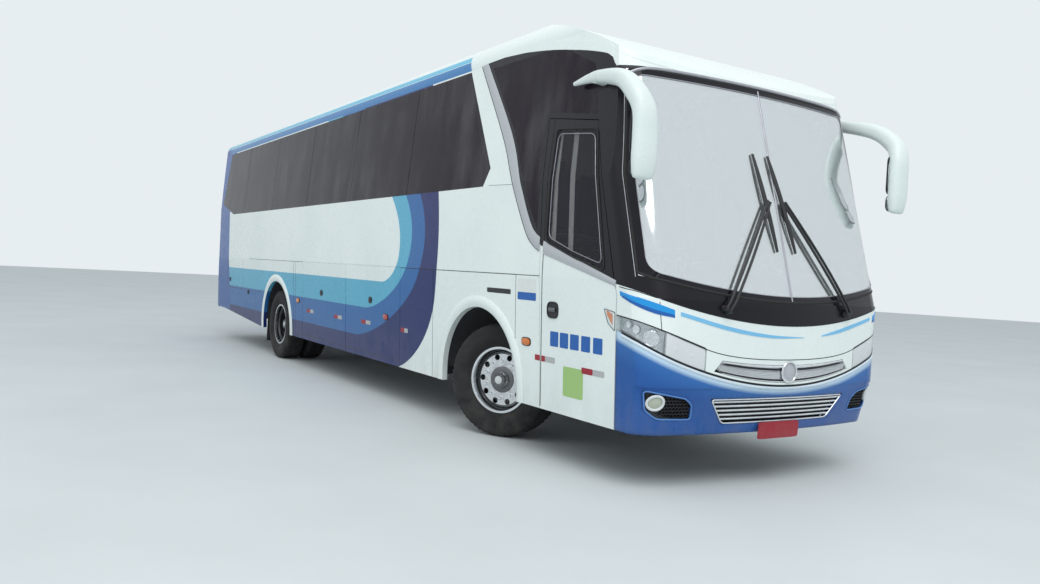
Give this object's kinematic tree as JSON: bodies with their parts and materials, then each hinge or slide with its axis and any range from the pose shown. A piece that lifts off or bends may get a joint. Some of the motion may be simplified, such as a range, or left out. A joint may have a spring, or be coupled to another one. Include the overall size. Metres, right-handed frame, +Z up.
{
  "type": "airport passenger bus",
  "caption": "High-floor airport coach with steered front wheels, twin rear wheels, a swing-out entrance door, luggage flaps, an engine door and roof hatches.",
  "frame": {"origin": "centre of the bounding box on the ground, under the tyres", "axes": "+X forward, +Y to the left side of the vehicle, +Z up; the entrance door is on the -Y side"},
  "size_m": [12.5881, 2.98, 3.762],
  "materials": {
    "body_white": "gloss",
    "body_blue": "gloss",
    "black_gloss": "gloss",
    "glass": "tinted",
    "lamp_clear": "clear",
    "lamp_red": "gloss",
    "chrome_trim": "polished",
    "chassis": "painted",
    "floor_grey": "matt",
    "black_plastic": "matt",
    "seat_fabric": "woven",
    "bellows": "matt",
    "tyre": "matt",
    "rim": "polished"
  },
  "bodies": {
    "body": {"front_frame": "chassis", "rear_frame": "chassis", "luggage_bay": "chassis", "saloon_floor": "floor_grey", "entrance_steps": "floor_grey", "side_wall_right": "body_white", "side_wall_left": "body_white", "roof": "body_white", "front_panel": "body_white", "windscreen_surround": "black_gloss", "front_bumper": "body_blue", "rear_wall": "body_white", "wheel_housings": "floor_grey", "windscreen": "glass", "side_glass_right": "glass", "side_glass_left": "glass", "rear_glass": "glass", "headlamps": "lamp_clear", "fog_lamps": "lamp_clear", "tail_lamps": "lamp_red", "upper_grille": "chrome_trim", "lower_grille": "chrome_trim", "mirror_right": "body_white", "mirror_left": "body_white", "wipers": "black_plastic", "dashboard": "black_plastic", "driver_seat": "seat_fabric", "seats_right": "seat_fabric", "seats_left": "seat_fabric", "air_conditioner": "body_white", "engine": "chassis", "front_axle": "chassis", "rear_axle": "chassis", "air_springs": "bellows"},
    "door_arm": {"door_arm": "chassis"},
    "door": {"entrance_door": "body_white", "door_glass": "glass"},
    "flap_right_front": {"flap_right_front": "body_blue"},
    "flap_right_rear": {"flap_right_rear": "body_blue"},
    "flap_left_front": {"flap_left_front": "body_blue"},
    "flap_left_rear": {"flap_left_rear": "body_blue"},
    "engine_door": {"engine_door": "body_blue"},
    "hatch_front": {"roof_hatch_front": "body_white"},
    "hatch_rear": {"roof_hatch_rear": "body_white"},
    "knuckle_right": {"knuckle_right": "chassis"},
    "knuckle_left": {"knuckle_left": "chassis"},
    "tie_rod": {"tie_rod": "chassis"},
    "wheel_front_right": {"rim_front_right": "rim", "tyre_front_right": "tyre"},
    "wheel_front_left": {"rim_front_left": "rim", "tyre_front_left": "tyre"},
    "wheels_rear_right": {"rims_rear_right": "rim", "tyres_rear_right": "tyre"},
    "wheels_rear_left": {"rims_rear_left": "rim", "tyres_rear_left": "tyre"},
    "steering_wheel": {"steering_wheel": "black_plastic"}
  },
  "joints": [
    {"name": "door_swing", "type": "hinge", "parent": "body", "child": "door_arm", "pos_m": [5.686, -1.14, 1.4], "axis": [0, 0, 1], "range_deg": [0, 95]},
    {"name": "door_leaf", "type": "hinge", "parent": "door_arm", "child": "door", "pos_m": [5.006, -1.18, 1.4], "axis": [0, 0, 1], "range_deg": [-95, 0]},
    {"name": "flap_right_front_lift", "type": "hinge", "parent": "body", "child": "flap_right_front", "pos_m": [1.336, -1.295, 1.47], "axis": [-1, 0, 0], "range_deg": [0, 85]},
    {"name": "flap_right_rear_lift", "type": "hinge", "parent": "body", "child": "flap_right_rear", "pos_m": [-0.364, -1.295, 1.47], "axis": [-1, 0, 0], "range_deg": [0, 85]},
    {"name": "flap_left_front_lift", "type": "hinge", "parent": "body", "child": "flap_left_front", "pos_m": [1.336, 1.295, 1.47], "axis": [1, 0, 0], "range_deg": [0, 85]},
    {"name": "flap_left_rear_lift", "type": "hinge", "parent": "body", "child": "flap_left_rear", "pos_m": [-0.364, 1.295, 1.47], "axis": [1, 0, 0], "range_deg": [0, 85]},
    {"name": "engine_door_lift", "type": "hinge", "parent": "body", "child": "engine_door", "pos_m": [-6.289, 0, 1.4], "axis": [0, 1, 0], "range_deg": [0, 80]},
    {"name": "hatch_front_lift", "type": "hinge", "parent": "body", "child": "hatch_front", "pos_m": [1.516, 0, 3.7173], "axis": [0, -1, 0], "range_deg": [0, 60]},
    {"name": "hatch_rear_lift", "type": "hinge", "parent": "body", "child": "hatch_rear", "pos_m": [-3.784, 0, 3.7173], "axis": [0, -1, 0], "range_deg": [0, 60]},
    {"name": "steer_right", "type": "hinge", "parent": "body", "child": "knuckle_right", "pos_m": [3.836, -0.87, 0.51], "axis": [0, 0, 1], "range_deg": [-68, 12]},
    {"name": "steer_left", "type": "hinge", "parent": "body", "child": "knuckle_left", "pos_m": [3.836, 0.87, 0.51], "axis": [0, 0, 1], "range_deg": [-68, 12]},
    {"name": "tie_rod_pivot", "type": "hinge", "parent": "knuckle_right", "child": "tie_rod", "pos_m": [3.63292, -0.97798, 0.4], "axis": [0, 0, 1], "range_deg": [-12, 68]},
    {"name": "steering_wheel_turn", "type": "hinge", "parent": "body", "child": "steering_wheel", "pos_m": [5.3912, 0.6, 1.848], "axis": [-0.5241, 0, 0.8517], "range_deg": [-1224, 216]},
    {"name": "spin_front_right", "type": "hinge", "parent": "knuckle_right", "child": "wheel_front_right", "pos_m": [3.836, -0.87, 0.51], "axis": [-0.4695, 0.8829, 0], "continuous": true},
    {"name": "spin_front_left", "type": "hinge", "parent": "knuckle_left", "child": "wheel_front_left", "pos_m": [3.836, 0.87, 0.51], "axis": [-0.4695, 0.8829, 0], "continuous": true},
    {"name": "spin_rear_right", "type": "hinge", "parent": "body", "child": "wheels_rear_right", "pos_m": [-2.364, -1, 0.51], "axis": [0, 1, 0], "continuous": true},
    {"name": "spin_rear_left", "type": "hinge", "parent": "body", "child": "wheels_rear_left", "pos_m": [-2.364, 1, 0.51], "axis": [0, 1, 0], "continuous": true}
  ],
  "couplings": [
    {"joint": "door_leaf", "follows": "door_swing", "ratio": -1},
    {"joint": "steer_left", "follows": "steer_right", "ratio": 1},
    {"joint": "tie_rod_pivot", "follows": "steer_right", "ratio": -1},
    {"joint": "steering_wheel_turn", "follows": "steer_right", "ratio": 18}
  ]
}
